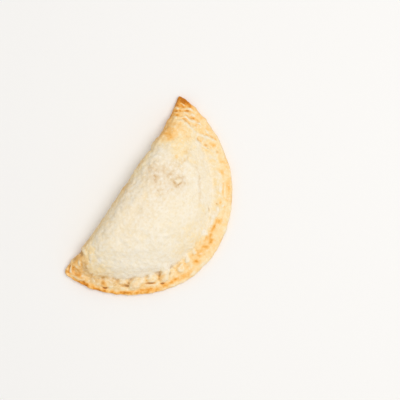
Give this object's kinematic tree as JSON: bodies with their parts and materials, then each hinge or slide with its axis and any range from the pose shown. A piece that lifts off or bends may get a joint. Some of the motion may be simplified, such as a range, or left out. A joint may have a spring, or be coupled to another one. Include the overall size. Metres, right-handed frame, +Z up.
{
  "type": "empanada",
  "caption": "Pale baked half-moon empanada, shut and uncut: a smooth filled dome with a straight folded back and a pressed rim pinched into a rope of slanting crimps.",
  "frame": {"origin": "middle of the bounding box, on the flat baked underside", "axes": "+X along the fold towards the slimmer horn, -Y towards the crimped rim, +Z up"},
  "size_m": [0.1408, 0.0774, 0.0283],
  "materials": {
    "crust": "matte"
  },
  "bodies": {
    "root": {"empanada": "crust"}
  },
  "joints": []
}
